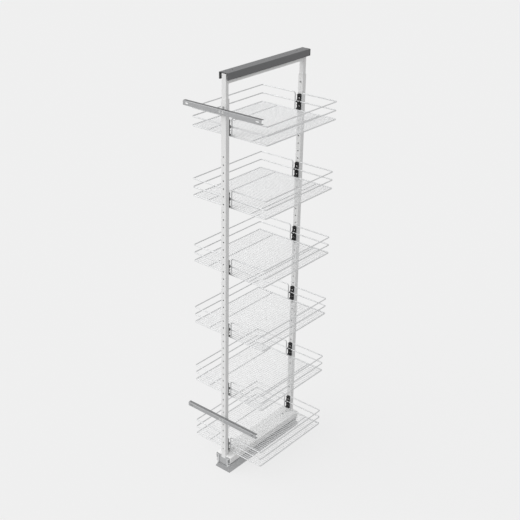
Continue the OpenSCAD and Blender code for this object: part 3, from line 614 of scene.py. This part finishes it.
def arc(centre, radius, start, stop, first, second, steps=9):
    """Points of a bend: centre + radius * (cos a * first + sin a * second), a from start to stop."""
    a = np.radians(np.linspace(start, stop, steps))[:, None]
    return np.asarray(centre) + radius * (np.cos(a) * np.asarray(first) + np.sin(a) * np.asarray(second))


def even(path, step):
    """Points at even steps along a path, and how far along it each is."""
    gone = np.append(0, np.cumsum(np.linalg.norm(np.diff(path, axis=0), axis=1)))
    at = np.linspace(0, gone[-1], int(gone[-1] / step))
    return np.stack([np.interp(at, gone, path[:, i]) for i in range(3)], -1), at


bead = 0.0011                                    # radius of a weld bead
bead_in = 0.0003                                 # how far its middle stands off both tubes
bead_bend = 0.0016                               # its bend round the tube's lower edges
ripple = 0.0015                                  # spacing of the ripples that the torch leaves
ripple_share = 0.07                              # how much a ripple swells the bead
low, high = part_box("top_tube")
side = high.x + bead_in
under = low.z - bead_in
bend = arc((side - bead_bend, 0, under + bead_bend), bead_bend, 0, -90, x_way, z_way, steps=6)
half_u = np.vstack([[(side, 0, high.z - 2 * bead)], bend])
whole_u = np.vstack([half_u, half_u[::-1] * (-1, 1, 1)])
beads = []
for end in (-1, 1):
    path, at = even(whole_u + (0, end * (high.y - bead_in), 0), ripple / 5)
    swell = 1 + ripple_share * np.cos(2 * np.pi * at / ripple)
    beads.append(tube(path, bead * swell, sides=12))
piece("top_tube_welds", beads, post_finish, "top_frame")

roller_nylon = (0.80, 0.80, 0.775, 1)
dress(post_finish, "front_inner_post", "rear_inner_post", "top_tube", "front_roller_carrier",
      "rear_roller_carrier")
dress(screw_finish, "roller_pins")
roller_finish = moulded("roller_nylon", roller_nylon, rough=0.34, grain=700.0, pores=0.00002)
dress(roller_finish, "front_roller", "rear_roller")


# ---- Guide rail --------------------------------------------------------------------------
# Roll-formed channel in a dark grey coat, screwed under the cabinet top, with a moulded
# end piece in its rear.

rail_grey = (0.135, 0.137, 0.141, 1)
dress(powder_coat("rail_grey", rail_grey, rough=0.46, thin=1.25), "guide_rail")
end_black = (0.05, 0.05, 0.052, 1)
dress(moulded("end_piece_black", end_black, rough=0.5, grain=1900.0, pores=0.00003), "guide_rail_end")


# ---- Basket wires ------------------------------------------------------------------------
# Each basket is welded from drawn steel wire and then chrome-plated: a rim, a middle ring and
# two halves of a top rail in thick wire, a floor of thin wires, and two bearers under it.

wire_chrome = (0.66, 0.665, 0.67, 1)
rim_wire = 0.0048                                # thickness of the rim, the middle ring and the top rail
floor_wire = 0.0024                              # and of the floor's wires
bearer_wire = 0.004                              # and of the bearers
basket_bend = 0.008                              # bend of the rings at the basket's corners
bearer_spacing = 0.214
floor_pitch = 0.012                              # from one wire of the floor to the next
middle_up = 0.036                                # from the rim up to the middle ring
top_up = 0.071                                   # from the rim up to the top rail
gate_half = 0.0175                               # half the gap in the top rail, at the clip
gate_bend = 0.009                                # bend of the top rail down to the rim
bearer_nugget = (0.0017, 0.0017, 0.0013)         # half sizes of the welds on the bearers
rim_nugget = (0.0015, 0.0016, 0.0014)            # on the rim
rail_nugget = (0.0032, 0.0026, 0.0032)           # and at the feet of the top rail
nugget_in = 0.0022                               # from the rim's middle in to a weld
nugget_down = 0.0004                             # from a floor wire's middle down to it


def ring_path(half_w, half_d, z):
    """Rectangle with four round bends: one quarter arc about the middle of each corner."""
    inner = np.array([half_w - basket_bend, half_d - basket_bend, 0])
    turns = [((1, 1), 0), ((-1, 1), 90), ((-1, -1), 180), ((1, -1), 270)]
    return np.vstack([arc(inner * (*signs, 0) + (0, 0, z), basket_bend, start, start + 90, x_way, y_way)
                      for signs, start in turns])


def top_half_path(half_w, half_d, z):
    """Right half of the top rail: up beside the front clip, round two corners, down beside the
    rear clip. The rear half is the front half mirrored and walked backwards."""
    turn = gate_half + gate_bend
    foot = np.array([[gate_half, -half_d, z]])
    rise = arc((turn, -half_d, z + top_up - gate_bend), gate_bend, 180, 90, x_way, z_way)
    centre = (half_w - basket_bend, basket_bend - half_d, z + top_up)
    corner = arc(centre, basket_bend, -90, 0, x_way, y_way)
    front = np.vstack([foot, rise, corner])
    return np.vstack([front, front[::-1] * (1, -1, 1)])


def weld_spots(points, size, sides=8):
    """Nuggets where wires melt together: balls pressed flat to size, on rings of latitude."""
    s = np.radians(np.array([-80, -40, 0, 40, 80]))
    t = np.arange(sides) * 2 * np.pi / sides
    ball = np.stack([np.cos(s)[:, None] * np.cos(t), np.cos(s)[:, None] * np.sin(t),
                     np.broadcast_to(np.sin(s)[:, None], (len(s), sides))], -1) * size
    return [(ball + p, False) for p in np.asarray(points)]


def chrome_wire(name, colour):
    """Chrome on drawn wire: a bright soft gloss, with draw marks and a little haze."""
    made, tree, skin = blank(name)
    where = put(tree, "ShaderNodeTexCoord")
    haze = put(tree, "ShaderNodeTexNoise", {"Vector": where.outputs["Object"], "Scale": 45.0,
               "Detail": 5.0, "Roughness": 0.6})
    marks = put(tree, "ShaderNodeTexNoise", {"Vector": where.outputs["Object"], "Scale": 1800.0,
                "Detail": 3.0, "Roughness": 0.6})
    shine = spread(tree, haze.outputs["Fac"], 0.92, 1.08)
    hazed = spread(tree, haze.outputs["Fac"], 0.32, 0.46)
    skin.inputs["Metallic"].default_value = 0.55
    feed(tree, skin, toned(tree, colour, shine), hazed, {"Strength": 0.15, "Distance": 0.00001,
         "Height": marks.outputs["Fac"]})
    return made


wire_finish = chrome_wire("basket_chrome", wire_chrome)
basket_count = sum(body.startswith("basket_") for body in frame["bodies"])
bearer_x = (-bearer_spacing / 2, bearer_spacing / 2)
for i in range(1, basket_count + 1):
    low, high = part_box(f"basket_{i}_floor")
    half_w = high.x - rim_wire / 2
    half_d = high.y - rim_wire / 2
    level = high.z - rim_wire / 2
    rows = int((half_d - basket_bend) / floor_pitch)
    row_y = np.arange(-rows, rows + 1) * floor_pitch
    floor_z = high.z - floor_wire / 2
    bearer_z = low.z + bearer_wire / 2
    grid = [tube(ring_path(half_w, half_d, level), rim_wire / 2, closed=True)]
    grid += [tube([(-half_w, y, floor_z), (half_w, y, floor_z)], floor_wire / 2, sides=10) for y in row_y]
    grid += [tube([(x, -half_d, bearer_z), (x, half_d, bearer_z)], bearer_wire / 2) for x in bearer_x]
    crossings = [(x, y, (floor_z + bearer_z) / 2) for x in bearer_x for y in row_y]
    grid += weld_spots(crossings, bearer_nugget)
    rim_ends = [(x * (half_w - nugget_in), y, floor_z - nugget_down) for x in (-1, 1) for y in row_y]
    grid += weld_spots(rim_ends, rim_nugget, sides=6)
    made = piece(f"basket_{i}_grille", grid, wire_finish, f"basket_{i}")
    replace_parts(made, f"basket_{i}_floor")

    right = top_half_path(half_w, half_d, level)
    rails = [tube(ring_path(half_w, half_d, level + middle_up), rim_wire / 2, closed=True),
             tube(right, rim_wire / 2), tube(right[::-1] * (-1, 1, 1), rim_wire / 2)]
    gate_ends = [(x * gate_half, y * half_d, level + up) for x in (-1, 1) for y in (-1, 1)
                 for up in (0, middle_up)]
    rails += weld_spots(gate_ends, rail_nugget)
    made = piece(f"basket_{i}_rail_wires", rails, wire_finish, f"basket_{i}")
    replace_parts(made, f"basket_{i}_rails")


# ---- Basket clips ------------------------------------------------------------------------
# Moulded black clips hang on the studs by keyholes, and their hooks snap round the basket's
# middle ring. The mould leaves every edge a little round.

clip_black = (0.009, 0.009, 0.0095, 1)
clip_gloss = 0.22                                # a matt mould leaves the clips little gloss
clip_finish = moulded("clip_black", clip_black, rough=0.46, grain=2200.0, pores=0.00002)
clip_finish.node_tree.nodes["Principled BSDF"].inputs["Specular IOR Level"].default_value = clip_gloss
clip_round = 0.00035                             # radius of a moulded edge
clip_crease = radians(40)                        # a turn between faces that counts as an edge
flat_turn = radians(0.5)                         # and one that is still flat
same_point = 0.000002                            # corners that are nearer are one


def softened(name, source):
    """Copy of a node with its triangles merged into flats and every real edge rounded."""
    mesh = nodes[source].data.copy()
    shell = bmesh.new()
    shell.from_mesh(mesh)
    bmesh.ops.remove_doubles(shell, verts=shell.verts, dist=same_point)
    bmesh.ops.dissolve_limit(shell, angle_limit=flat_turn, verts=shell.verts, edges=shell.edges)
    shell.to_mesh(mesh)
    shell.free()
    made = bpy.data.objects.new(name, mesh)
    scene.collection.objects.link(made)
    rounding = made.modifiers.new("moulded edges", "BEVEL")
    rounding.width = clip_round
    rounding.segments = 2
    rounding.limit_method = "ANGLE"
    rounding.angle_limit = clip_crease
    rounding.harden_normals = True
    mesh.materials.clear()
    mesh.materials.append(clip_finish)
    mesh.polygons.foreach_set("use_smooth", np.ones(len(mesh.polygons), bool))
    return made


for i in range(1, basket_count + 1):
    made = softened(f"basket_{i}_moulded_clips", f"basket_{i}_clips")
    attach(made, f"basket_{i}")
    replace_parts(made, f"basket_{i}_clips")
